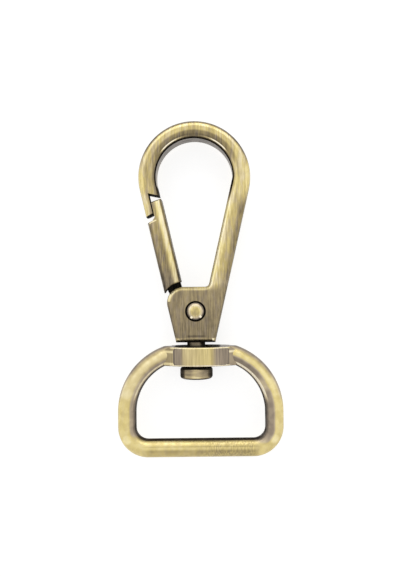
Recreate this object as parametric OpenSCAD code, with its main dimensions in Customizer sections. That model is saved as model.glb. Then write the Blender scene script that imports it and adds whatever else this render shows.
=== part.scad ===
// Swivel snap hook for a 25 mm strap, lying flat with its face up.
// +Y runs from the strap bar to the top of the bight, +Z is the face side.
// The origin is the middle of the strap bar's centre line. Millimetres.

/* [Hook outline] */
// Outer radius of the round bight
loop_outer_r = 10.8; // [9:0.1:13]
// Height of the bight's centre above the strap bar
loop_centre_y = 52.4; // [50:0.1:58]
// Width of the cast bar round the bight
bight_w = 3.4; // [2.8:0.1:4]
// How much wider the arm and the gate are than the bight
arm_extra = 0.2; // [0.1:0.05:0.3]
// Thickness of the hook, face to back
hook_depth = 4.4; // [4:0.1:5.4]
// Slope of each side of the hook against its axis, in degrees
side_slope = 12.94; // [11.5:0.01:13.5]
// Radius of the bar's outer edges
outer_edge_r = 1.1; // [0.6:0.1:1.4]
// Width of the bevel on the bar's inner edges
inner_bevel = 0.4; // [0.2:0.05:0.6]

/* [Block] */
// Height of the block's foot above the strap bar
block_bottom_y = 20.55; // [20.2:0.05:21.5]
// Height of the block's top edge above the rivet
block_top = 4.7; // [4.4:0.1:5.4]
// Radius of the block's free upper corner
block_corner_r = 3.05; // [2:0.05:3.4]
// Radius of the edges at the block's foot
foot_edge_r = 0.95; // [0.5:0.05:1.2]
// Radius of the fillet between the block's top and the arm
arm_fillet_r = 0.9; // [0.7:0.05:1.2]
// Width of the slot that takes the gate's tongue
slot_w = 2.3; // [2:0.05:2.6]

/* [Gate] */
// Radius about the rivet of the end of the gate's lap finger
finger_tip_r = 22.6; // [22:0.1:23]
// Thickness of the hook's outer lap finger
nose_finger_w = 1.4; // [1.1:0.05:1.7]
// Gap between the two lap fingers
lap_gap = 0.25; // [0.15:0.05:0.4]
// Radius about the rivet of the tip of the hook's lap finger
nose_tip_r = 20.4; // [20:0.1:21]
// Gap between that tip and the gate's outer shoulder
shoulder_gap = 1.2; // [0.8:0.05:1.6]
// Gap between the tip of the gate's lap finger and the hook's inner step
step_gap = 1.8; // [1.4:0.05:2.2]
// Gap between the gate's lower end and the block's corner
gate_end_gap = 0.95; // [0.7:0.05:1.2]
// Radius of the tongue round the rivet
tongue_r = 3.4; // [3:0.05:3.5]
// Gap between the tongue and each side and end of its slot
tongue_gap = 0.1; // [0.05:0.01:0.15]

/* [Rivet] */
// Height of the rivet above the strap bar
rivet_y = 26.55; // [26.3:0.05:27]
// Diameter of the rivet's shank
rivet_d = 2.0; // [1.6:0.1:2.2]
// Diameter of each rivet head
rivet_head_d = 3.25; // [2.8:0.05:3.5]
// Diameter of the recess round each rivet head
recess_d = 3.9; // [3.6:0.05:4.2]
// Depth of that recess
recess_depth = 0.5; // [0.3:0.05:0.6]
// Height of the domed head above the hook's face
head_proud = 0.3; // [0.1:0.05:0.5]
// Clearance of the rivet in the gate's bore, on the radius
rivet_clearance = 0.05; // [0.02:0.01:0.08]

/* [Gate spring] */
// Diameter of the spring wire
spring_wire_d = 0.32; // [0.26:0.01:0.34]
// Radius of the coil, to the middle of the wire
coil_r = 1.7; // [1.6:0.05:1.8]
// Full turns of the coil besides its part turn between the legs
coil_turns = 2; // [1:1:2]
// Depth of the pocket in the tongue that holds the coil
pocket_depth = 1.2; // [1.15:0.01:1.3]
// Radius of that pocket
pocket_r = 2.3; // [2.15:0.05:2.5]

/* [Swivel stud] */
// Diameter of the stud's shank through the eye
stud_d = 3.5; // [3:0.1:3.8]
// Diameter of the stud's head
stud_head_d = 6.3; // [6:0.1:7]
// Thickness of the stud's head
stud_head_h = 2.3; // [1.8:0.1:2.8]
// Radius of the head's edges
stud_edge_r = 0.6; // [0.3:0.05:0.8]
// Diameter of the stud's end pressed into the block
stud_press_d = 2.6; // [2:0.1:2.9]
// Length of the stud's pressed end
stud_press_l = 2.0; // [1.4:0.1:2.1]

/* [D-ring] */
// Width of strap that the ring takes
strap_w = 25; // [24:0.5:30]
// Diameter of the ring's wire
wire_d = 3.6; // [3:0.1:4]
// Radius of the lower corners, to the middle of the wire
corner_r = 4.1; // [3:0.1:5]
// Radius of the upper arches, to the middle of the wire
arch_r = 11.7; // [11.3:0.1:12]
// Height of the arches' centres above the strap bar
arch_centre_y = 7.0; // [6.6:0.1:7.2]
// Height of the underside of the ring's eye above the strap bar
eye_bottom_y = 16.05; // [15.9:0.05:16.3]
// Thickness of the eye along the stud
eye_h = 3.7; // [3.4:0.1:3.9]
// Depth of the eye, face to back
eye_depth = 7.6; // [7.2:0.1:8.4]
// Radius of the eye's bowed face
eye_bow_r = 11.4; // [10:0.1:14]
// Half the width of the eye's bowed face
eye_half_w = 5.6; // [5:0.1:6]
// Sideways play of the stud in the eye, taken up to one side at rest
eye_play = 0.75; // [0.4:0.05:0.9]
// Gap left between the stud and the eye's bore on that side
eye_gap = 0.05; // [0.02:0.01:0.1]
// Gap between the stud's head and the eye's underside
head_gap = 0.3; // [0.1:0.05:0.5]

/* [Hidden] */

$fn = 96;
cut = 1;
brass = "#b09a66";
dark_brass = "#8f7c55";
steel = "#9c9c98";

hook_x = -eye_play;
half_depth = hook_depth / 2;
arm_w = bight_w + arm_extra;
loop_from_rivet = loop_centre_y - rivet_y;
block_bottom = block_bottom_y - rivet_y;

rivet_r = rivet_d / 2;
side_at_rivet = loop_outer_r - loop_from_rivet * sin(side_slope);
corner_rise = block_top - block_corner_r;
corner_left = (side_at_rivet - block_corner_r + corner_rise * sin(side_slope)) / cos(side_slope);
corner_centre = [-corner_left, corner_rise];
fillet_rise = block_top + arm_fillet_r;
fillet_right = (side_at_rivet - arm_w - arm_fillet_r + fillet_rise * sin(side_slope)) / cos(side_slope);
fillet_centre = [fillet_right, fillet_rise];
corner_side = corner_centre - block_corner_r * [cos(side_slope), sin(side_slope)];
gate_end_r = block_corner_r + gate_end_gap;
shoulder_r = nose_tip_r - shoulder_gap;
nose_step_r = finger_tip_r + step_gap;

tongue_t = slot_w - 2 * tongue_gap;
slot_r = tongue_r + 2 * tongue_gap;
slot_right = coil_r + 0.5;
slot_left_bottom = -0.6;
tongue_inset = 0.3;
lap_chamfer = 0.5;
step_slope = 12;
fit = 0.01;
arc_proud = 0.01;
over = 0.3;
kink_rise = sqrt(pow(loop_outer_r - bight_w, 2) - pow(loop_outer_r - arm_w, 2)) + 0.2;

coil_bottom = -slot_w / 2 + spring_wire_d / 2 + 0.04;
coil_pitch = spring_wire_d * 1.06;
leg_a_angle = 200;
leg_a_length = 5.2;
leg_b_length = 3.7;
coil_sweep = 360 - leg_a_angle + 360 * coil_turns;
leg_groove_w = spring_wire_d + 0.16;

bore_r = stud_d / 2 + eye_play + eye_gap;
head_top_y = eye_bottom_y - head_gap;
eye_top_y = eye_bottom_y + eye_h;
wire_r = wire_d / 2;
side_x = strap_w / 2 + wire_r;
arch_centre_x = side_x - arch_r;
corner_centre_x = side_x - corner_r;
arch_end_x = eye_half_w - 1.1;
arch_angle = acos((arch_end_x - arch_centre_x) / arch_r);
eye_end_x = eye_half_w + wire_r * 0.8;
eye_side_z = eye_depth / 2 - eye_bow_r + sqrt(eye_bow_r * eye_bow_r - eye_half_w * eye_half_w);
eye_end_z = wire_r * 0.7;
eye_edge_r = 0.35;
eye_end_fall = 0.5;

// Section of the cast bar: x = 0 is its outer side, -w its inner side, y its depth
module bar_section(w, edge, bevel) {
    polygon([
        [0, -half_depth + edge],
        [0, half_depth - edge],
        [-edge, half_depth],
        [-w + bevel, half_depth],
        [-w, half_depth - bevel],
        [-w, -half_depth + bevel],
        [-w + bevel, -half_depth],
        [-edge, -half_depth]
    ]);
    for (s = [-1, 1])
        translate([-edge, s * (half_depth - edge)])
            circle(r = edge);
}

// Distance from the hook's axis to its side, or to a line inside it, at height y above the rivet
function half_width(y, inside = 0) = (side_at_rivet - inside + y * sin(side_slope)) / cos(side_slope);

// A point at the given radius and angle
function polar(r, a) = [r * cos(a), r * sin(a)];

// Point at radius r about the rivet on the line that lies w inside the hook's left side
function on_left(w, r) =
    let (
        d = side_at_rivet - w,
        t = sqrt(r * r - d * d)
    )
    [-d * cos(side_slope) - t * sin(side_slope), -d * sin(side_slope) + t * cos(side_slope)];

// Straight bar down the right side, from the bight's end towards the block
module right_bar(w, length, bevel) {
    translate([0, loop_from_rivet, 0])
        rotate([0, 0, -side_slope])
            translate([loop_outer_r, 0, 0])
                rotate([90, 0, 0])
                    linear_extrude(height = length)
                        bar_section(w, outer_edge_r, bevel);
}

// The same bar down the left side
module left_bar(w, length, bevel) {
    mirror([1, 0, 0])
        right_bar(w, length, bevel);
}

// Cutter for a 45 degree bevel on an edge at its origin, with the material at +x and -y
module bevel_cutter(width) {
    polygon([[width + over, over], [-over, -width - over], [-over, over]]);
}

// Bevels a straight edge, on the face and on the back, with the material on the left going from-to
module straight_bevel(from, to, width) {
    run = to - from;
    for (s = [0, 1])
        mirror([0, 0, s])
            translate([from[0], from[1], half_depth])
                rotate([0, 0, atan2(run[1], run[0]) + 90])
                    rotate([90, 0, 0])
                        linear_extrude(height = norm(run))
                            bevel_cutter(width);
}

// Bevels the round edges of radius r from angle a, with the material outside or inside that radius
module round_bevel(r, a, sweep, width, inside = false) {
    for (s = [0, 1])
        mirror([0, 0, s])
            translate([0, 0, half_depth])
                rotate([0, 0, a])
                    rotate_extrude(angle = sweep)
                        translate([r, 0])
                            mirror([inside ? 1 : 0, 0])
                                bevel_cutter(width);
}

// Everything below the line where the bight ends and the right bar starts
module below_bight() {
    big = 4 * loop_outer_r;
    translate([0, loop_from_rivet, 0])
        rotate([0, 0, -side_slope])
            translate([-big, -big, -big])
                cube([2 * big, big, 2 * big]);
}

// The round bight, open between the two sides
module bight() {
    difference() {
        translate([0, loop_from_rivet, 0])
            rotate_extrude()
                translate([loop_outer_r, 0])
                    bar_section(bight_w, outer_edge_r, inner_bevel);
        intersection() {
            below_bight();
            mirror([1, 0, 0])
                below_bight();
        }
    }
}

// The bight and its left end: a lap finger on the outer side and a slanting step on the inner side
module bight_and_nose() {
    step = on_left(nose_finger_w, nose_step_r);
    difference() {
        union() {
            bight();
            left_bar(bight_w, loop_from_rivet - nose_tip_r + bight_w, inner_bevel);
        }
        translate([0, 0, -hook_depth])
            cylinder(h = 2 * hook_depth, r = nose_tip_r);
        intersection() {
            translate([step[0] - cut, step[1] + cut * tan(step_slope), -hook_depth])
                rotate([0, 0, -step_slope])
                    translate([0, -2 * bight_w, 0])
                        cube([3 * bight_w, 2 * bight_w, 2 * hook_depth]);
            translate([-half_width(0, nose_finger_w), 0, -hook_depth])
                rotate([0, 0, side_slope])
                    cube([3 * bight_w, 2 * loop_from_rivet, 2 * hook_depth]);
        }
        round_bevel(nose_tip_r, 100, 40, inner_bevel / 2);
    }
}

// Arm from the bight to the block, its inner edge carried up to where it runs out in the bight
module arm() {
    right_bar(arm_w, loop_from_rivet - block_top + arm_fillet_r, inner_bevel);
    translate([0, loop_from_rivet, 0])
        rotate([0, 0, -side_slope])
            translate([loop_outer_r, kink_rise, 0])
                rotate([90, 0, 0])
                    linear_extrude(height = 2 * kink_rise)
                        intersection() {
                            bar_section(arm_w, outer_edge_r, inner_bevel);
                            translate([-arm_w, -half_depth])
                                square([arm_w / 2, hook_depth]);
                        }
}

// Outline of the block, with a fillet up to the arm
module block_outline() {
    low = block_bottom - cut;
    difference() {
        polygon([
            [-half_width(low), low],
            [half_width(low) + cut, low],
            fillet_centre + polar(2 * arm_w, -side_slope),
            fillet_centre,
            [fillet_centre[0], block_top],
            [corner_centre[0], block_top],
            corner_centre,
            corner_side
        ]);
        translate(fillet_centre)
            circle(r = arm_fillet_r + arc_proud / 2);
    }
}

// Rounded free corner of the block, a hair proud so that it crosses the straight sides cleanly
module block_corner() {
    r = block_corner_r + arc_proud;
    bevel = inner_bevel - 2 * arc_proud;
    translate([corner_centre[0], corner_centre[1], 0])
        rotate_extrude()
            polygon([
                [0, -half_depth],
                [r - bevel, -half_depth],
                [r, bevel - half_depth],
                [r, half_depth - bevel],
                [r - bevel, half_depth],
                [0, half_depth]
            ]);
}

// Block, rounded along its right side and its foot and bevelled elsewhere
module block() {
    difference() {
        intersection() {
            right_bar(3 * loop_outer_r, 2 * loop_from_rivet, inner_bevel);
            translate([0, 0, -hook_depth])
                linear_extrude(height = 2 * hook_depth)
                    block_outline();
            translate([0, block_bottom, 0])
                rotate([0, 0, -90])
                    rotate([90, 0, 0])
                        linear_extrude(height = 4 * loop_outer_r, center = true)
                            bar_section(2 * loop_from_rivet, foot_edge_r, inner_bevel);
        }
        straight_bevel([fillet_centre[0], block_top], [corner_centre[0] - over, block_top], inner_bevel);
        straight_bevel(
            [-half_width(corner_side[1] + over), corner_side[1] + over],
            [-half_width(block_bottom - over), block_bottom - over],
            inner_bevel
        );
        translate([fillet_centre[0], fillet_centre[1], 0])
            round_bevel(arm_fillet_r + arc_proud / 2, -100, 95, inner_bevel);
    }
    block_corner();
}

// Space in the block for the gate's tongue, its swing and the spring
module tongue_slot() {
    translate([0, 0, -slot_w / 2]) {
        cylinder(h = slot_w, r = slot_r);
        translate([-2 * slot_r, slot_left_bottom, 0])
            cube([2 * slot_r + slot_right, 2 * slot_r, slot_w]);
    }
}

// Rivet hole with a recess round each head
module rivet_hole() {
    translate([0, 0, -hook_depth])
        cylinder(h = 2 * hook_depth, r = rivet_r + fit);
    for (s = [0, 1])
        mirror([0, 0, s])
            translate([0, 0, half_depth - recess_depth])
                cylinder(h = hook_depth, d = recess_d);
}

// Hole in the block's foot for the stud's pressed end
module stud_hole() {
    translate([0, block_bottom - cut, 0])
        rotate([-90, 0, 0])
            cylinder(h = cut + stud_press_l + 5 * fit, r = stud_press_d / 2 + fit);
}

module hook_body() {
    color(brass)
        translate([hook_x, rivet_y, 0])
            difference() {
                union() {
                    bight_and_nose();
                    arm();
                    block();
                }
                tongue_slot();
                rivet_hole();
                stud_hole();
            }
}

// Outline of the gate's tongue: a disc round the rivet and a neck up into the bar
module tongue_outline() {
    outer_y = block_top + 1;
    inner_y = block_top + 2.3;
    circle(r = tongue_r);
    polygon([
        [0, 0],
        polar(tongue_r - over, 190),
        [-half_width(outer_y, tongue_inset), outer_y],
        [-half_width(inner_y, arm_w - tongue_inset), inner_y],
        polar(tongue_r - over, 130)
    ]);
}

// Bar of the gate, from the tip of its lap finger to its end at the block
module gate_bar() {
    bar_l = (loop_from_rivet - corner_rise) * cos(side_slope) + corner_centre[0] * sin(side_slope);
    finger_out = nose_finger_w + lap_gap;
    shoulder = on_left(finger_out, shoulder_r);
    difference() {
        intersection() {
            left_bar(arm_w, bar_l, inner_bevel);
            translate([0, 0, -hook_depth])
                cylinder(h = 2 * hook_depth, r = finger_tip_r);
        }
        difference() {
            translate([-half_width(0, finger_out), 0, -hook_depth])
                rotate([0, 0, side_slope])
                    translate([-2 * arm_w, 0, 0])
                        cube([2 * arm_w, 2 * loop_from_rivet, 2 * hook_depth]);
            translate([0, 0, -2 * hook_depth])
                cylinder(h = 4 * hook_depth, r = shoulder_r);
            translate([shoulder[0], shoulder[1], -2 * hook_depth])
                linear_extrude(height = 4 * hook_depth)
                    rotate(side_slope + 45)
                        square(lap_chamfer * sqrt(2), center = true);
        }
        translate([corner_centre[0], corner_centre[1], -hook_depth])
            cylinder(h = 2 * hook_depth, r = gate_end_r);
        round_bevel(finger_tip_r, 90, 50, inner_bevel / 2, inside = true);
        translate([corner_centre[0], corner_centre[1], 0])
            round_bevel(gate_end_r, 60, 150, inner_bevel / 2);
    }
}

// Tongue of the gate, with its bore, the spring's pocket and room for both legs
module tongue() {
    difference() {
        translate([0, 0, -tongue_t / 2])
            linear_extrude(height = tongue_t)
                tongue_outline();
        translate([0, 0, -hook_depth])
            cylinder(h = 2 * hook_depth, r = rivet_r + rivet_clearance);
        translate([0, 0, pocket_depth - tongue_t / 2 - hook_depth])
            cylinder(h = hook_depth, r = pocket_r);
        translate([0, 0, pocket_depth - tongue_t / 2 - hook_depth])
            linear_extrude(height = hook_depth)
                polygon([[0, 0], polar(2 * tongue_r, 5), polar(3 * tongue_r, 50), polar(2 * tongue_r, 100)]);
        translate(polar(coil_r, leg_a_angle))
            rotate([0, 0, leg_a_angle - 180])
                translate([-leg_groove_w / 2, 0, coil_bottom + leg_groove_w / 2 - hook_depth])
                    cube([leg_groove_w, leg_a_length + leg_groove_w / 2, hook_depth]);
    }
}

module gate() {
    color(brass)
        translate([hook_x, rivet_y, 0])
            union() {
                gate_bar();
                tongue();
            }
}

// Middle line of the spring wire: leg on the gate, coil round the rivet, leg on the block's slot
leg_a_start = polar(coil_r, leg_a_angle) + polar(leg_a_length, leg_a_angle - 90);
leg_b_end = [slot_right - spring_wire_d / 2 - 2 * fit, leg_b_length];
coil_steps = round(coil_sweep / 15);
coil_top = coil_bottom + coil_pitch * coil_sweep / 360;
spring_path = concat(
    [[leg_a_start[0], leg_a_start[1], coil_bottom]],
    [for (i = [0 : coil_steps])
        let (a = leg_a_angle + coil_sweep * i / coil_steps)
        [coil_r * cos(a), coil_r * sin(a), coil_bottom + (coil_top - coil_bottom) * i / coil_steps]],
    [[leg_b_end[0], leg_b_end[1], coil_top]]
);

// Ring of points of a round wire about point i of a path
function wire_ring(path, i, r, sides) =
    let (
        before = path[max(i - 1, 0)],
        after = path[min(i + 1, len(path) - 1)],
        along = (after - before) / norm(after - before),
        flat = cross([0, 0, 1], along),
        side = flat / norm(flat),
        up = cross(along, side)
    )
    [for (k = [0 : sides - 1]) path[i] + r * cos(360 * k / sides) * side + r * sin(360 * k / sides) * up];

// Round wire swept along a path
module wire(path, r, sides = 8) {
    n = len(path);
    points = [for (i = [0 : n - 1]) each wire_ring(path, i, r, sides)];
    ends = [
        [for (k = [0 : sides - 1]) sides - 1 - k],
        [for (k = [0 : sides - 1]) (n - 1) * sides + k]
    ];
    walls = [for (i = [0 : n - 2]) for (k = [0 : sides - 1])
        let (next = (k + 1) % sides)
        [i * sides + k, i * sides + next, (i + 1) * sides + next, (i + 1) * sides + k]];
    polyhedron(points, [for (f = concat(ends, walls)) [for (j = [len(f) - 1 : -1 : 0]) f[j]]]);
}

module gate_spring() {
    color(steel)
        translate([hook_x, rivet_y, 0])
            wire(spring_path, spring_wire_d / 2);
}

// Half section of the rivet: a shank and a domed head on a short rim
module rivet_half_section() {
    seat = half_depth - recess_depth;
    head_r = rivet_head_d / 2;
    head_h = recess_depth + head_proud;
    rim = 0.45 * head_h;
    dome_h = head_h - rim;
    dome_r = (head_r * head_r + dome_h * dome_h) / (2 * dome_h);
    square([rivet_r, seat + fit]);
    intersection() {
        translate([0, seat])
            square([head_r, head_h]);
        translate([0, seat + head_h - dome_r])
            circle(r = dome_r);
    }
}

module gate_rivet() {
    color(dark_brass)
        translate([hook_x, rivet_y, 0])
            rotate_extrude()
                for (s = [0, 1])
                    mirror([0, s])
                        rivet_half_section();
}

// Section of a turned disc with rounded edges, from its axis out
module disc_section(r, h, edge) {
    polygon([[0, 0], [r - edge, 0], [r, edge], [r, h - edge], [r - edge, h], [0, h]]);
    for (y = [edge, h - edge])
        translate([r - edge, y])
            circle(r = edge);
}

module swivel_stud() {
    color(dark_brass)
        translate([hook_x, head_top_y - stud_head_h, 0])
            rotate([-90, 0, 0])
                rotate_extrude() {
                    disc_section(stud_head_d / 2, stud_head_h, stud_edge_r);
                    square([stud_d / 2, block_bottom_y - head_top_y + stud_head_h]);
                    square([stud_press_d / 2, block_bottom_y - head_top_y + stud_head_h + stud_press_l]);
                }
}

// Straight wire of the given length along +Y
module straight_wire(length) {
    rotate([-90, 0, 0])
        cylinder(h = length, r = wire_r);
}

// Bent wire of bend radius r, swept from angle a
module bent_wire(r, a, sweep) {
    rotate([0, 0, a])
        rotate_extrude(angle = sweep)
            translate([r, 0])
                circle(r = wire_r);
}

// Right half of the ring's wire, from the middle of the strap bar into the eye, flush with its top
module ring_half() {
    intersection() {
        union() {
            rotate([0, 0, -90])
                straight_wire(corner_centre_x);
            translate([corner_centre_x, corner_r, 0])
                bent_wire(corner_r, -90, 90);
            translate([side_x, corner_r, 0])
                straight_wire(arch_centre_y - corner_r);
            translate([arch_centre_x, arch_centre_y, 0])
                bent_wire(arch_r, 0, arch_angle);
        }
        translate([-wire_d, -wire_d, -wire_d])
            cube([strap_w, eye_top_y + wire_d, 2 * wire_d]);
    }
}

// Eye of the ring: two bowed faces that meet narrowing ends, whose upper corners fall to the wire
module eye() {
    slope = (eye_side_z - eye_end_z) / (eye_end_x - eye_half_w);
    inner_x = eye_half_w - cut;
    inner_z = eye_side_z + slope * cut;
    far_z = eye_depth;
    intersection() {
        translate([0, eye_bottom_y, eye_depth / 2 - eye_bow_r])
            rotate([-90, 0, 0])
                rotate_extrude()
                    disc_section(eye_bow_r, eye_h, eye_edge_r);
        translate([0, eye_bottom_y, eye_bow_r - eye_depth / 2])
            rotate([-90, 0, 0])
                rotate_extrude()
                    disc_section(eye_bow_r, eye_h, eye_edge_r);
        translate([0, eye_top_y + cut, 0])
            rotate([90, 0, 0])
                linear_extrude(height = eye_h + 2 * cut)
                    polygon([
                        [eye_end_x, eye_end_z], [inner_x, inner_z], [inner_x, far_z],
                        [-inner_x, far_z], [-inner_x, inner_z], [-eye_end_x, eye_end_z],
                        [-eye_end_x, -eye_end_z], [-inner_x, -inner_z], [-inner_x, -far_z],
                        [inner_x, -far_z], [inner_x, -inner_z], [eye_end_x, -eye_end_z]
                    ]);
        translate([0, eye_top_y, -eye_depth])
            linear_extrude(height = 2 * eye_depth)
                polygon([
                    [0, eye_end_fall * eye_half_w],
                    [3 * eye_half_w, -2 * eye_end_fall * eye_half_w],
                    [-3 * eye_half_w, -2 * eye_end_fall * eye_half_w]
                ]);
    }
}

module d_ring() {
    color(brass)
        difference() {
            union() {
                ring_half();
                mirror([1, 0, 0])
                    ring_half();
                eye();
            }
            translate([0, eye_bottom_y - cut, 0])
                rotate([-90, 0, 0])
                    cylinder(h = eye_h + 2 * cut, r = bore_r);
        }
}

hook_body();
gate();
gate_spring();
gate_rivet();
swivel_stud();
d_ring();
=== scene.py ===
import math

import bpy
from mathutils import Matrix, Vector


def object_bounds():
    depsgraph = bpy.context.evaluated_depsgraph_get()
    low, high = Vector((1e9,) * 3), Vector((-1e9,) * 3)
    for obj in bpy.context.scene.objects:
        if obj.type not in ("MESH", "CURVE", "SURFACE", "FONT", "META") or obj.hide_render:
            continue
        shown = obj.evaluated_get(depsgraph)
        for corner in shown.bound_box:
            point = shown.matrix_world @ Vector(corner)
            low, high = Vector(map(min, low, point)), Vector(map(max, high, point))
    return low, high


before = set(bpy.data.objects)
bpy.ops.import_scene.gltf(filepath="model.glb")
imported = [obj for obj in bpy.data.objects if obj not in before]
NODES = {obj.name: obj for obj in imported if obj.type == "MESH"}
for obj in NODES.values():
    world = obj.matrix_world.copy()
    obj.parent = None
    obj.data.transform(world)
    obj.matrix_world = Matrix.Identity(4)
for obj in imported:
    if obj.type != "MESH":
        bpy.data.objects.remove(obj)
CAD_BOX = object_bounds()
MM = 0.001


# Places on the object, in the CAD's own millimetres

HOOK_X = -0.75
LOOP_Y, LOOP_R = 52.4, 10.8
BIGHT_W, ARM_W = 3.4, 3.6
SLOPE = math.radians(12.94)
RIVET_Y, RIVET_HOLE_R = 26.55, 1.96
NOSE_TIP_R, SHOULDER_R = 20.4, 19.2
BLOCK_TOP_Y = 31.25
CORNER, CORNER_R, GATE_END_R = (-3.14, 28.2), 3.05, 4.0
FILLET, FILLET_R = (1.06, 32.15), 0.9
RING_MIDDLE_Y = 8.5
EYE_BOTTOM_Y, EYE_END_X = 16.0, 7.0
FACET, FACET_HALF = (0.29, 17.9), (4.72, 1.0)
# Places of painted glints: one at each of the ring's corners by the strap bar, and two on the rivet head
RING_GLINT = (14.2, 1.9)
RIVET_GLINTS = ((-0.78, -1.16), (0.95, -1.02))


# Tones are display levels of 0 to 1. Each ramp gives the colour of a tone, in display values of 0 to 255

BRASS = ((0.0, (9, 6, 3)), (0.2, (60, 50, 34)), (0.4, (113, 101, 76)), (0.55, (157, 141, 100)),
         (0.68, (193, 175, 118)), (0.78, (220, 202, 138)), (0.92, (250, 237, 182)))
GREY = ((0.0, (9, 7, 5)), (0.2, (58, 53, 49)), (0.4, (108, 100, 93)), (0.55, (151, 138, 125)),
        (0.65, (180, 165, 144)), (0.78, (217, 203, 172)), (0.92, (250, 241, 222)))
STEEL = ((0.0, (104, 103, 100)), (1.0, (176, 175, 171)))
# Tones of painted shade, near black: in gaps and recesses, along the bight's inner edge and under things
SHADE_BLACK, SHADE_NEAR_BLACK = 0.05, 0.06

# Tone across a face, by mm in from the hook's outer side, with painted light and shade: bright bands for highlights on
# rounded edges and dark bands for shade. The first row runs from one tone to another between two places, and each row
# after it adds its step between two places
BIGHT_LEFT_LIGHT_SHADE = ((0.7, 1.3, 0.77, 0.61), (1.3, 1.8, 0.05), (2.5, 2.95, -0.14))
BIGHT_RIGHT_LIGHT_SHADE = ((1.8, 2.2, 0.775, 0.71), (2.2, 2.7, 0.08), (2.8, 3.0, -0.12))
BIGHT_TOP_LIGHT_SHADE = ((0.25, 0.75, 0.43, 0.86), (0.75, 1.15, -0.14), (1.6, 2.1, -0.24), (2.2, 2.8, -0.10))
ARM_LIGHT_SHADE = ((0.5, 1.7, 0.50, 0.70), (2.25, 2.6, 0.09), (2.85, 3.05, 0.11), (3.3, 3.5, -0.2))
GATE_LIGHT_SHADE = ((0.2, 0.9, 0.41, 0.56), (1.0, 1.5, -0.06), (1.85, 2.75, 0.34), (3.10, 3.42, -0.40))

# Grain: cells a millimetre along X, Y and Z, detail and roughness
BRUSHED = ((3.2, 0.22, 3.2), 4.0, 0.7)
WALL_BRUSHED = ((0.25, 0.25, 4.0), 3.0, 0.6)
BAR_BRUSHED = ((4.5, 0.35, 4.5), 3.0, 0.6)
EYE_BRUSHED = ((4.5, 0.12, 4.5), 3.0, 0.6)
SATIN = ((0.7, 0.7, 0.7), 2.0, 0.5)
POLISHED = ((5.0, 0.8, 5.0), 2.0)
TURNED = ((0.5, 3.0, 0.5), 2.0)
DRAWN = ((2.6, 0.9, 2.6),)
BLOTCHES = ((0.45, 0.45, 0.45), 4.0, 0.6)
HUE_CHANGES = ((1.3, 0.3, 1.3), 3.0, 0.6)

# Finish of the brass pieces
BLOTCH_TONE = 0.025
HUE_SHARE = 0.55
# Share and tone of the painted shade in recesses, which also stands for the patina there
SHADE_AND_PATINA_SHARE, SHADE_AND_PATINA_TONE = 0.8, 0.3
GLOSS_SPREAD, PATINA_ROUGH = 0.05, 0.45
LINE_HEIGHT = 0.006
PILLOW_FALL = 0.16


def rgb(r, g, b):
    """A colour in display values of 0 to 255, as the shader takes it."""
    def line(v):
        v /= 255
        return v / 12.92 if v <= 0.04045 else ((v + 0.055) / 1.055) ** 2.4
    return (line(r), line(g), line(b), 1.0)


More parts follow.
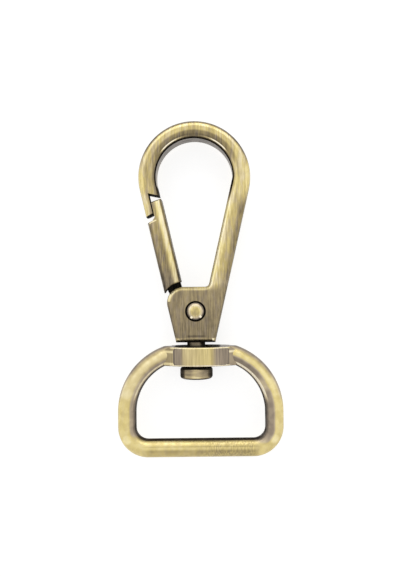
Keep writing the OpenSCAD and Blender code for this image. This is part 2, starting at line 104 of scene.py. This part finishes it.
class Graph:
    """A material with short calls for its nodes. Its coordinates are millimetres in the CAD's frame."""

    def __init__(self, name):
        self.mat = bpy.data.materials.new(name)
        self.mat.use_nodes = True
        self.tree = self.mat.node_tree
        self.bsdf = self.tree.nodes["Principled BSDF"]
        coord = self.node("ShaderNodeTexCoord")
        scale = self.node("ShaderNodeVectorMath", operation="SCALE")
        self.put(coord.outputs["Object"], scale.inputs[0])
        scale.inputs["Scale"].default_value = 1000.0
        self.point = scale.outputs[0]
        self.x, self.y, self.z = self.split(self.point)
        self.nx, self.ny, self.nz = self.split(coord.outputs["Normal"])

    def put(self, value, socket):
        if isinstance(value, bpy.types.NodeSocket):
            self.tree.links.new(value, socket)
        elif value is not None:
            socket.default_value = value

    def node(self, kind, **settings):
        n = self.tree.nodes.new(kind)
        for k, v in settings.items():
            setattr(n, k, v)
        return n

    def split(self, vector):
        n = self.node("ShaderNodeSeparateXYZ")
        self.put(vector, n.inputs[0])
        return n.outputs[0], n.outputs[1], n.outputs[2]

    def math(self, op, *values):
        n = self.node("ShaderNodeMath", operation=op)
        for i, v in enumerate(values):
            self.put(v, n.inputs[i])
        return n.outputs[0]

    def chain(self, op, values):
        total = values[0]
        for v in values[1:]:
            total = self.math(op, total, v)
        return total

    def add(self, *values):
        return self.chain("ADD", values)

    def mul(self, *values):
        return self.chain("MULTIPLY", values)

    def most(self, *values):
        return self.chain("MAXIMUM", values)

    def sub(self, a, b):
        return self.math("SUBTRACT", a, b)

    def rest(self, value):
        return self.sub(1.0, value)

    def size(self, value):
        return self.math("ABSOLUTE", value)

    def off(self, value, middle):
        """How far a value lies from a middle, to either side."""
        return self.size(self.sub(value, middle))

    def square_sum(self, a, b):
        return self.math("MULTIPLY_ADD", a, a, self.mul(b, b))

    def hypot(self, a, b):
        return self.math("SQRT", self.square_sum(a, b))

    def dist(self, x, y):
        """Distance in the XY plane from a point."""
        return self.hypot(self.sub(self.x, x), self.sub(self.y, y))

    def lerp(self, k, a, b):
        """a where k is 0, b where k is 1."""
        n = self.node("ShaderNodeMix", data_type="FLOAT")
        for socket, v in zip(n.inputs[:1] + n.inputs[2:4], (k, a, b)):
            self.put(v, socket)
        return n.outputs[0]

    def span(self, value, lo, hi, out_lo=0.0, out_hi=1.0):
        """Smooth step from out_lo at lo to out_hi at hi."""
        if lo > hi:
            lo, hi, out_lo, out_hi = hi, lo, out_hi, out_lo
        n = self.node("ShaderNodeMapRange", interpolation_type="SMOOTHSTEP")
        for i, v in enumerate((value, lo, hi, out_lo, out_hi)):
            self.put(v, n.inputs[i])
        return n.outputs[0]

    def step(self, value, lo, hi, height):
        """Smooth step from 0 at lo to this height at hi."""
        return self.span(value, lo, hi, 0.0, height)

    def band(self, value, a, b, soft):
        """1 between a and b, with edges this soft."""
        return self.mul(self.span(value, a - soft, a + soft), self.span(value, b + soft, b - soft))

    def profile(self, value, first, *steps):
        """Tone by place: the first row's run, and a step for each further row."""
        return self.add(self.span(value, *first), *(self.step(value, *row) for row in steps))

    def noise(self, scale, detail=2.0, rough=0.5, turn=0.0):
        """Noise of this many cells a millimetre along X, Y and Z, turned about Z."""
        m = self.node("ShaderNodeMapping", vector_type="POINT")
        self.put(self.point, m.inputs["Vector"])
        m.inputs["Rotation"].default_value = (0, 0, turn)
        m.inputs["Scale"].default_value = scale
        n = self.node("ShaderNodeTexNoise")
        self.put(m.outputs["Vector"], n.inputs["Vector"])
        n.inputs["Scale"].default_value = 1.0
        n.inputs["Detail"].default_value = detail
        n.inputs["Roughness"].default_value = rough
        return n.outputs["Fac"]

    def occlusion(self, reach_mm):
        n = self.node("ShaderNodeAmbientOcclusion", samples=8)
        n.inputs["Distance"].default_value = reach_mm * MM
        return n.outputs["AO"]

    def ramp(self, value, stops):
        n = self.node("ShaderNodeValToRGB")
        self.put(value, n.inputs["Fac"])
        while len(n.color_ramp.elements) < len(stops):
            n.color_ramp.elements.new(0.5)
        for element, (place, colour) in zip(n.color_ramp.elements, stops):
            element.position = place
            element.color = rgb(*colour)
        return n.outputs["Color"]

    def bump(self, height_mm):
        n = self.node("ShaderNodeBump")
        n.inputs["Strength"].default_value = 1.0
        n.inputs["Distance"].default_value = MM
        self.put(height_mm, n.inputs["Height"])
        self.put(n.outputs["Normal"], self.bsdf.inputs["Normal"])

    def brass(self, tone, lines, rough=0.36, reach=0.9, crown=None, streaks=0.05, grey=0.0, mottle=1.0):
        """Antique brass of this tone, with brush lines in its tone, gloss and relief, and painted shade in its
        recesses, which also stands for the patina there.

        reach is how near a wall makes a recess, crown a relief in mm, streaks how strongly the lines show, grey how
        far the colour goes from yellow to grey, and mottle how uneven tone and colour are.
        """
        # Painted shade: darker where ambient occlusion finds a recess, which also stands for the antique finish's
        # patina there
        recess = self.span(self.occlusion(reach), 0.35, 0.85, 1.0, 0.0)
        uneven = BLOTCH_TONE * mottle
        tone = self.add(tone, self.mul(self.span(lines, 0.32, 0.68, -1.0, 1.0), streaks),
                        self.span(self.noise(*BLOTCHES), 0.3, 0.7, -uneven, uneven))
        tone = self.lerp(self.mul(recess, SHADE_AND_PATINA_SHARE), tone, self.mul(tone, SHADE_AND_PATINA_TONE))
        hue = self.most(grey, self.step(self.noise(*HUE_CHANGES), 0.42, 0.62, HUE_SHARE * mottle))
        colour = self.node("ShaderNodeMix", data_type="RGBA")
        for socket, value in zip((colour.inputs[0], colour.inputs[6], colour.inputs[7]),
                                 (hue, self.ramp(tone, BRASS), self.ramp(tone, GREY))):
            self.put(value, socket)
        self.put(colour.outputs[2], self.bsdf.inputs["Base Color"])
        bare = self.span(tone, 0.12, 0.40)
        self.put(bare, self.bsdf.inputs["Metallic"])
        self.bsdf.inputs["Specular IOR Level"].default_value = 0.1
        gloss = self.span(lines, 0.3, 0.7, rough + GLOSS_SPREAD, rough - GLOSS_SPREAD)
        self.put(self.add(gloss, self.step(bare, 1.0, 0.0, PATINA_ROUGH)), self.bsdf.inputs["Roughness"])
        height = self.mul(lines, LINE_HEIGHT)
        self.bump(self.add(height, crown) if crown is not None else height)
        return self.mat


def hook_place(g):
    """Where a point lies on the hook: mm in from its outer side, mm above the bight's ends, mm to the right of its
    middle, and how far up the bight, from -1 to 1."""
    dx, dy = g.sub(g.x, HOOK_X), g.sub(g.y, LOOP_Y)
    ax = g.size(dx)
    straight = g.sub(g.mul(ax, math.cos(SLOPE)), g.mul(dy, math.sin(SLOPE)))
    above = g.add(g.mul(ax, math.sin(SLOPE)), g.mul(dy, math.cos(SLOPE)))
    round_r = g.dist(HOOK_X, LOOP_Y)
    side = g.lerp(g.math("GREATER_THAN", above, 0.0), straight, round_r)
    return g.sub(LOOP_R, side), above, dx, g.math("DIVIDE", dy, g.most(round_r, 1.0))


def walls(g, facing):
    return g.span(facing, 0.45, 0.25)


def pillow(g, u, width, facing):
    """Relief in mm of a face that falls off softly to both sides."""
    off = g.math("MINIMUM", g.off(u, width / 2), width / 2)
    return g.mul(g.mul(off, off), -PILLOW_FALL / width, g.span(facing, 0.9, 0.99))


def bight_tone(g, u, up, right, glint):
    """Painted light and shade: bright outside, darker inside at its top, with a dark outer edge on its shoulders, and
    the glint's painted highlight.
    """
    sides = g.lerp(right, g.profile(u, *BIGHT_LEFT_LIGHT_SHADE), g.profile(u, *BIGHT_RIGHT_LIGHT_SHADE))
    tone = g.lerp(g.span(up, 0.1, 0.85), sides, g.profile(u, *BIGHT_TOP_LIGHT_SHADE))
    shoulder = g.mul(g.span(u, 0.45, 0.15), g.span(up, 0.1, 0.5), g.span(up, 0.9, 0.6))
    return g.lerp(glint, g.add(tone, g.mul(shoulder, -0.25)), 1.0)


def block_tone(g):
    """A painted highlight along the block's top, its upper left corner and the fillet to the arm, inside a painted
    dark edge of shade.
    """
    over_corner = g.mul(g.span(g.x, CORNER[0] + 0.1, CORNER[0] - 0.1), g.span(g.y, CORNER[1], CORNER[1] + 0.3))
    depth = g.lerp(over_corner, g.sub(BLOCK_TOP_Y, g.y), g.sub(CORNER_R, g.dist(*CORNER)))
    in_fillet = g.span(g.x, FILLET[0] - 0.1, FILLET[0] + 0.1)
    depth = g.lerp(in_fillet, depth, g.sub(g.dist(*FILLET), FILLET_R))
    tone = g.add(0.505, g.span(g.y, 20.5, 30.5, -0.03, 0.02))
    tone = g.add(tone, g.mul(g.span(depth, 0.0, 0.15), g.span(depth, 0.85, 0.4), 0.32))
    return g.lerp(g.span(depth, 0.10, 0.04), tone, 0.30)


def foot_tone(g, tone, u, dx, right):
    """The block's foot: a painted dark line of shade over a lighter painted reflection, with a painted glint at each
    end.
    """
    shade_line = g.mul(g.band(g.y, 21.6, 21.95, 0.1), g.span(g.size(dx), 2.2, 1.2))
    reflection_line = g.band(g.y, 20.9, 21.45, 0.08)
    glints = g.mul(g.span(g.y, 22.3, 22.0), g.band(u, 0.35, 0.75, 0.1), g.band(g.y, 20.95, 21.35, 0.1))
    tone = g.lerp(reflection_line, g.lerp(shade_line, tone, 0.36), 0.57)
    return g.lerp(glints, tone, g.lerp(right, 0.76, 0.95))


def hook_black_shade(g, u, dx, facing, in_bight):
    """Painted shade, left almost black: the line round the bight's inside, the foot's underside, the lap joint, the
    nose's tip and the recess round each rivet head."""
    rim = g.mul(g.span(u, 3.10, 3.18), g.span(facing, 0.95, 0.85), g.span(g.size(g.z), 1.68, 1.8), in_bight)
    foot = g.mul(g.span(g.ny, -0.66, -0.8), g.span(g.y, 21.6, 21.3))
    by_nose = g.span(dx, -5.0, -6.0)
    lap = g.mul(by_nose, g.band(g.y, 43.8, 50.6, 0.2), g.span(facing, 0.62, 0.5), g.span(u, 1.0, 1.25))
    r = g.dist(HOOK_X, RIVET_Y)
    tip = g.mul(g.span(r, NOSE_TIP_R + 0.08, NOSE_TIP_R + 0.02), g.span(g.y, 42.0, 43.0), by_nose)
    hole = g.span(r, RIVET_HOLE_R + 0.06, RIVET_HOLE_R)
    return g.most(rim, foot, lap, tip, hole)


def hook_look():
    g = Graph("hook_brass_brushed")
    u, above, dx, up = hook_place(g)
    facing = g.size(g.nz)
    right = g.span(dx, -0.5, 0.5)
    in_bight = g.span(above, -4.0, 0.5)
    in_block = g.span(g.y, 32.0, 30.2)
    # Painted highlight: a bright line by the bight's inner edge, on its upper sides
    glint = g.mul(g.band(u, 2.80, 3.03, 0.05), g.band(up, 0.62, 0.93, 0.1), in_bight)
    bight = bight_tone(g, u, up, right, glint)
    # The nose keeps the bight's tones
    tone = g.lerp(in_bight, g.lerp(right, bight, g.profile(u, *ARM_LIGHT_SHADE)), bight)
    tone = g.lerp(in_block, tone, block_tone(g))
    # Painted shade along the block's outer edge
    tone = g.lerp(g.mul(in_block, g.span(u, 0.45, 0.1)), tone, 0.38)
    tone = foot_tone(g, tone, u, dx, right)
    # Walls: painted shade, darker inside, most of all at the bight's top
    wall = walls(g, facing)
    inner_wall = g.mul(wall, g.span(u, 2.6, 3.0))
    tone = g.lerp(inner_wall, tone, g.span(up, -0.2, 0.9, 0.55, 0.38))
    # Painted shade on steep faces near the outer side
    tone = g.lerp(g.mul(g.span(facing, 0.5, 0.15), g.span(u, 0.5, 0.2)), tone, 0.40)
    tone = g.lerp(hook_black_shade(g, u, dx, facing, in_bight), tone, SHADE_NEAR_BLACK)
    lines = g.lerp(g.most(in_block, in_bight), g.noise(*BRUSHED, turn=SLOPE), g.noise(*BRUSHED))
    lines = g.lerp(wall, lines, g.noise(*WALL_BRUSHED))
    crown = g.mul(pillow(g, u, BIGHT_W, facing), g.rest(in_block))
    # Greyer colour in the inner wall's painted shade and in the painted glint, and a little over the block
    grey = g.most(g.mul(g.most(inner_wall, glint), in_bight, 0.9), g.mul(in_block, 0.3))
    return g.brass(tone, lines, crown=crown, streaks=0.075, grey=grey)


def gate_look():
    g = Graph("gate_brass_brushed")
    u, *_ = hook_place(g)
    facing = g.size(g.nz)
    low = (g.y, 37.0, 32.0)
    tone = g.add(g.profile(u, *GATE_LIGHT_SHADE), g.mul(g.span(g.y, 38.0, 47.0), 0.09), g.mul(g.span(*low), -0.11))
    wall = walls(g, facing)
    # Painted shade on the inner and outer walls
    tone = g.lerp(g.mul(wall, g.span(u, 2.9, 3.3)), tone, 0.30)
    tone = g.lerp(g.mul(wall, g.span(u, 0.5, 0.2)), tone, 0.45)
    # Lap joint: its walls and the end by the block are painted black as shade, and the shoulder's edge gets a painted
    # highlight
    r = g.dist(HOOK_X, RIVET_Y)
    upright = g.span(facing, 0.6, 0.5)
    side = g.mul(g.band(u, 1.5, 1.8, 0.04), upright, g.span(r, SHOULDER_R - 0.3, SHOULDER_R))
    shoulder = g.mul(g.band(r, SHOULDER_R - 0.15, SHOULDER_R + 0.2, 0.05), g.span(u, 1.8, 1.6), upright)
    edge = g.mul(g.band(r, SHOULDER_R - 0.3, SHOULDER_R - 0.08, 0.06), g.span(u, 1.9, 1.7), g.span(facing, 0.6, 0.8))
    end = g.span(g.dist(*CORNER), GATE_END_R + 0.08, GATE_END_R + 0.02)
    tone = g.lerp(g.most(side, shoulder, end), g.lerp(edge, tone, 0.88), SHADE_BLACK)
    lines = g.lerp(wall, g.noise(*BRUSHED, turn=-SLOPE), g.noise(*WALL_BRUSHED))
    return g.brass(tone, lines, crown=pillow(g, u, ARM_W, facing), streaks=0.08, grey=g.step(*low, 0.5))


def rivet_look():
    g = Graph("rivet_brass_polished")
    r = g.dist(HOOK_X, RIVET_Y)
    # Painted light and shade on the head: dark at its rim, a bright ring inside that is darker in the middle, lighter
    # on its upper side, and a painted glint at each place in RIVET_GLINTS
    tone = g.add(g.span(r, 1.55, 1.25, 0.38, 0.76), g.step(r, 0.95, 0.6, -0.09), g.span(g.ny, -0.3, 0.3, -0.05, 0.03))
    for x, y in RIVET_GLINTS:
        tone = g.lerp(g.span(g.dist(HOOK_X + x, RIVET_Y + y), 0.30, 0.16), tone, 0.97)
    grey = g.step(r, 0.8, 1.15, 0.8)
    return g.brass(tone, g.noise(*POLISHED), rough=0.24, reach=0.5, grey=grey, mottle=0.3)


def stud_look():
    g = Graph("stud_brass_painted_shade")
    off_head = g.off(g.x, HOOK_X + 0.12)
    in_head = g.span(g.y, 16.2, 16.0)
    # Painted light and shade: the head bright in its middle, dark at its sides and lighter along its lower edge, and
    # the neck darker to its sides
    middle = g.add(g.span(off_head, 1.4, 0.3, 0.50, 0.66), g.step(g.y, 14.3, 13.95, 0.14))
    head = g.lerp(g.span(off_head, 2.75, 2.1), 0.18, middle)
    neck = g.span(g.off(g.x, HOOK_X - 0.15), 0.7, 1.5, 0.44, 0.14)
    tone = g.lerp(in_head, neck, head)
    # Painted shade: the head's top black and its underside dark
    tone = g.lerp(g.mul(in_head, g.span(g.ny, 0.75, 0.95)), tone, SHADE_BLACK)
    tone = g.lerp(g.mul(in_head, g.span(g.ny, -0.35, -0.7)), tone, 0.27)
    return g.brass(tone, g.noise(*TURNED), rough=0.30, reach=1.2, grey=0.45)


def wire_place(g):
    """How far across the ring's wire a point lies, from its outside (-1) to its inside (1)."""
    toward = g.math("MULTIPLY_ADD", g.ny, g.sub(RING_MIDDLE_Y, g.y), g.mul(g.nx, g.x, -1.0))
    inside = g.math("GREATER_THAN", toward, 0.0)
    lean = g.math("SQRT", g.most(g.rest(g.mul(g.nz, g.nz)), 0.0))
    return g.mul(lean, g.lerp(inside, -1.0, 1.0))


def inner_shade_band(g, across, right):
    """Painted shade on the wire's inner side, a step of tone inside its yellow: wider on the right, fainter near its
    top there, fading at the corners.
    """
    inner_shade = g.lerp(right, g.step(across, 0.15, 0.55, -0.15), g.step(across, -0.15, 0.2, -0.23))
    fainter = g.mul(g.band(g.y, 11.3, 13.4, 0.7), right, 0.55)
    over_corners = g.lerp(right, g.span(g.y, 1.4, 3.4), g.span(g.y, 0.2, 2.6))
    return g.mul(inner_shade, g.rest(fainter), over_corners)


def wire_tone(g, across, inner_shade, pale_highlight, right, high):
    """Yellow with painted light and shade: its painted inner shade, darker edges, darker near the eye, a whitish
    painted highlight line inside its upper half, a painted glint at each corner, and lighter towards the top.
    """
    joint = g.span(g.y, 12.5, 15.2)
    tone = g.add(0.775, g.mul(g.ny, 0.03), inner_shade, g.step(across, 0.62, 0.8, -0.12), g.step(across, -0.8, -0.97, -0.06),
                 g.mul(high, g.step(across, -0.72, -0.92, -0.14)), g.mul(joint, g.step(across, -0.35, -0.75, -0.16)),
                 g.mul(joint, g.step(across, -0.05, 0.3, -0.10)))
    tone = g.lerp(pale_highlight, tone, g.lerp(right, 0.84, 0.93))
    off_glint = g.square_sum(g.sub(g.size(g.x), RING_GLINT[0]), g.sub(g.y, RING_GLINT[1]))
    return g.add(tone, g.mul(g.span(off_glint, 1.3, 0.1), 0.09), g.mul(high, 0.025))


def bar_tone(g, across):
    """The strap bar, in painted light and shade: brighter in its upper half, with a thin painted dark line there,
    lighter along its lower edge and darker along its outer edge.
    """
    return g.add(g.span(g.y, -0.35, 0.15, 0.61, 0.77), g.mul(g.band(g.y, 0.44, 0.60, 0.08), -0.10),
                 g.step(g.y, -0.4, -0.9, 0.04), g.step(across, -0.9, -1.0, -0.08), g.span(g.x, -2.0, 4.0, 0.01, -0.04))


def ring_look():
    g = Graph("ring_brass_satin")
    ax = g.size(g.x)
    across = wire_place(g)
    right = g.span(g.x, -4.0, 4.0)
    high = g.span(g.y, RING_MIDDLE_Y, 11.0)
    in_bar = g.mul(g.span(g.y, 2.3, 1.2), g.span(ax, 12.0, 9.5))
    inner_shade = inner_shade_band(g, across, right)
    pale_highlight = g.mul(high, g.lerp(right, g.band(across, 0.62, 0.78, 0.06), g.band(across, 0.57, 0.80, 0.06)))
    tone = g.lerp(in_bar, wire_tone(g, across, inner_shade, pale_highlight, right, high), bar_tone(g, across))
    # Painted shade: a dark line along the inner edge of the wire and the bar
    tone = g.lerp(g.span(across, 0.80, 0.90), tone, g.lerp(in_bar, 0.26, 0.12))

    # Eye: a facet with rounded corners, darker towards its ends and outlined there with a painted dark line of shade,
    # and bright along its edges with painted highlights
    in_eye = g.mul(g.span(ax, 5.75, 5.55), g.span(g.y, 15.6, 15.9))
    off_middle = g.off(g.x, -0.25)
    flank = g.size(g.ny)
    eye = g.add(g.span(off_middle, 2.0, 3.6, 0.72, 0.54), g.step(off_middle, 4.0, 5.2, -0.05))
    facet_x, facet_y = (g.most(g.sub(g.off(value, middle), half), 0.0)
                        for value, middle, half in zip((g.x, g.y), FACET, FACET_HALF))
    off_facet = g.hypot(facet_x, facet_y)
    far = g.mul(g.span(off_middle, 3.8, 4.4), g.span(g.nz, 0.3, 0.5))
    eye = g.lerp(g.mul(far, g.band(off_facet, 0.50, 0.62, 0.06)), eye, 0.36)
    beyond = g.mul(far, g.span(off_facet, 0.66, 0.76))
    # Tone of the eye's end planes, with a painted highlight along their top, and on the left along their lower edge
    end = g.add(0.58, g.mul(g.band(g.y, 18.6, 19.05, 0.15), 0.27),
                g.mul(g.band(g.y, 16.3, 16.75, 0.12), g.lerp(right, 0.26, 0.0)))
    eye = g.lerp(beyond, eye, g.add(end, g.step(off_facet, 0.9, 0.7, 0.06)))
    eye = g.add(eye, g.band(flank, 0.25, 0.8, 0.1))
    tone = g.lerp(in_eye, tone, g.math("MINIMUM", eye, 0.84))

    # The planes from the facet down to the wire, with the end planes' tone, then the eye's underside and its top in
    # painted shade, black round the stud
    cheek = g.mul(g.span(g.size(g.nx), 0.50, 0.56), g.span(flank, 0.12, 0.06), g.span(g.y, 15.9, EYE_BOTTOM_Y))
    tone = g.lerp(cheek, tone, end)
    by_eye = g.span(ax, EYE_END_X + 0.4, EYE_END_X)
    under = g.mul(by_eye, g.band(g.y, 15.8, 16.1, 0.02), g.span(g.ny, -0.85, -0.95))
    lid = g.mul(by_eye, g.span(g.y, 19.6, 19.72), g.span(flank, 0.85, 0.95))
    tone = g.lerp(lid, g.lerp(under, tone, SHADE_BLACK), g.span(g.off(g.x, -0.5), 3.6, 4.9, SHADE_BLACK, 0.42))

    # Brush lines on the bar's right half and on the eye
    brushed = g.most(g.mul(in_bar, g.span(g.x, -3.0, 3.0)), in_eye)
    lines = g.lerp(in_eye, g.lerp(brushed, g.noise(*SATIN), g.noise(*BAR_BRUSHED)), g.noise(*EYE_BRUSHED))
    streaks = g.lerp(in_eye, g.lerp(brushed, 0.03, 0.08), 0.06)

    # Greyer colour on the cheeks, in the painted inner shade, on the lid, towards the eye's ends, along the upper
    # half's outer edge, in the painted highlight line on the right and over the upper left
    grey = g.most(g.mul(cheek, g.lerp(right, 0.3, 0.8)),
                  g.mul(g.span(inner_shade, -0.03, -0.12, 0.0, 0.85), g.rest(in_bar)),
                  lid,
                  g.mul(in_eye, g.span(off_middle, 2.3, 3.6), g.rest(beyond), 0.8),
                  g.mul(high, g.span(across, -0.55, -0.85), 0.8),
                  g.mul(pale_highlight, right),
                  g.mul(high, g.rest(right), 0.4))
    return g.brass(tone, lines, rough=0.38, streaks=streaks, grey=grey, mottle=0.3)


def spring_look():
    g = Graph("spring_steel_wire")
    die_marks = g.noise(*DRAWN)
    g.put(g.ramp(die_marks, STEEL), g.bsdf.inputs["Base Color"])
    g.bsdf.inputs["Metallic"].default_value = 1.0
    g.put(g.span(die_marks, 0.3, 0.7, 0.28, 0.42), g.bsdf.inputs["Roughness"])
    return g.mat


LOOKS = {
    "hook_body": hook_look(),
    "gate": gate_look(),
    "gate_rivet": rivet_look(),
    "swivel_stud": stud_look(),
    "d_ring": ring_look(),
    "gate_spring": spring_look(),
}
for node, look in LOOKS.items():
    mesh = NODES[node].data
    mesh.materials.clear()
    mesh.materials.append(look)


# Stage, in metres: a white floor that keeps a faint shadow, soft light and the photo's camera

MIDDLE = (0, 0.031, 0)
FLOOR_SIZE, FLOOR_GAP = 3.0, 0.00002
FLOOR_GLOW, FLOOR_LEVEL = 0.79, 0.5
AMBIENT = 0.5
# Name, place, width and height, and watts
LAMPS = (
    ("top", (0.0, 0.25, 0.14), (0.30, 0.12), 0.12),
    ("key", (-0.16, 0.12, 0.24), (0.16, 0.24), 0.03),
    ("fill", (0.20, 0.04, 0.20), (0.14, 0.24), 0.02),
)
SENSOR = 36.0
# The photo's long side shows this many mm at the middle plane, from this many mm away
PHOTO_LONG_SIDE, CAMERA_Z = 112.3, 133
CAMERA_X, CAMERA_Y = 4.2, 31.0
CAMERA_ROLL = math.radians(-0.6)
SHIFT_X, SHIFT_Y = -0.0339, -0.0012


def seen_or_reflected(tree):
    """1 for camera, glossy and transmission rays, 0 for the light that bounces."""
    path = tree.nodes.new("ShaderNodeLightPath")
    total = path.outputs["Is Camera Ray"]
    for name in ("Is Glossy Ray", "Is Transmission Ray"):
        top = tree.nodes.new("ShaderNodeMath")
        top.operation = "MAXIMUM"
        tree.links.new(total, top.inputs[0])
        tree.links.new(path.outputs[name], top.inputs[1])
        total = top.outputs[0]
    return total


def floor_look():
    """White floor: part of its white glows, the rest is lit, so that shadows stay faint."""
    mat = bpy.data.materials.new("white_floor")
    mat.use_nodes = True
    tree = mat.node_tree
    bsdf = tree.nodes["Principled BSDF"]
    bsdf.inputs["Base Color"].default_value = (FLOOR_LEVEL, FLOOR_LEVEL, FLOOR_LEVEL, 1)
    bsdf.inputs["Roughness"].default_value = 0.9
    bsdf.inputs["Specular IOR Level"].default_value = 0.0
    bsdf.inputs["Emission Color"].default_value = (1, 1, 1, 1)
    strength = tree.nodes.new("ShaderNodeMath")
    strength.operation = "MULTIPLY"
    tree.links.new(seen_or_reflected(tree), strength.inputs[0])
    strength.inputs[1].default_value = FLOOR_GLOW
    tree.links.new(strength.outputs[0], bsdf.inputs["Emission Strength"])
    return mat


def add_lamp(name, place, size, watts):
    data = bpy.data.lights.new(name, "AREA")
    data.shape = "RECTANGLE"
    data.size, data.size_y = size
    data.energy = watts
    lamp = bpy.data.objects.new(name, data)
    lamp.location = Vector(place)
    lamp.rotation_mode = "QUATERNION"
    lamp.rotation_quaternion = (Vector(MIDDLE) - Vector(place)).to_track_quat("-Z", "Y")
    bpy.context.scene.collection.objects.link(lamp)


bpy.ops.mesh.primitive_plane_add(size=FLOOR_SIZE, location=(MIDDLE[0], MIDDLE[1], CAD_BOX[0].z - FLOOR_GAP))
floor = bpy.context.object
floor.name = "floor"
floor.data.materials.append(floor_look())

world = bpy.data.worlds.new("studio")
bpy.context.scene.world = world
world.use_nodes = True
world_nodes, world_links = world.node_tree.nodes, world.node_tree.links
back = world_nodes["Background"]
back.inputs["Color"].default_value = (1, 1, 1, 1)
# White where it is seen or reflected, and ambient light otherwise
level = world_nodes.new("ShaderNodeMapRange")
world_links.new(seen_or_reflected(world.node_tree), level.inputs["Value"])
level.inputs["To Min"].default_value = AMBIENT
level.inputs["To Max"].default_value = 1.0
world_links.new(level.outputs[0], back.inputs["Strength"])

for name, place, size, watts in LAMPS:
    add_lamp(name, place, size, watts)

lens = bpy.data.cameras.new("camera")
lens.sensor_fit = "AUTO"
lens.sensor_width = SENSOR
lens.lens = SENSOR * CAMERA_Z / PHOTO_LONG_SIDE
lens.shift_x = SHIFT_X
lens.shift_y = SHIFT_Y
lens.clip_start = 0.005
lens.clip_end = 10
camera = bpy.data.objects.new("camera", lens)
camera.location = (CAMERA_X * MM, CAMERA_Y * MM, CAMERA_Z * MM)
camera.rotation_euler = (0, 0, CAMERA_ROLL)
bpy.context.scene.collection.objects.link(camera)
bpy.context.scene.camera = camera
bpy.context.scene.view_settings.view_transform = "Standard"
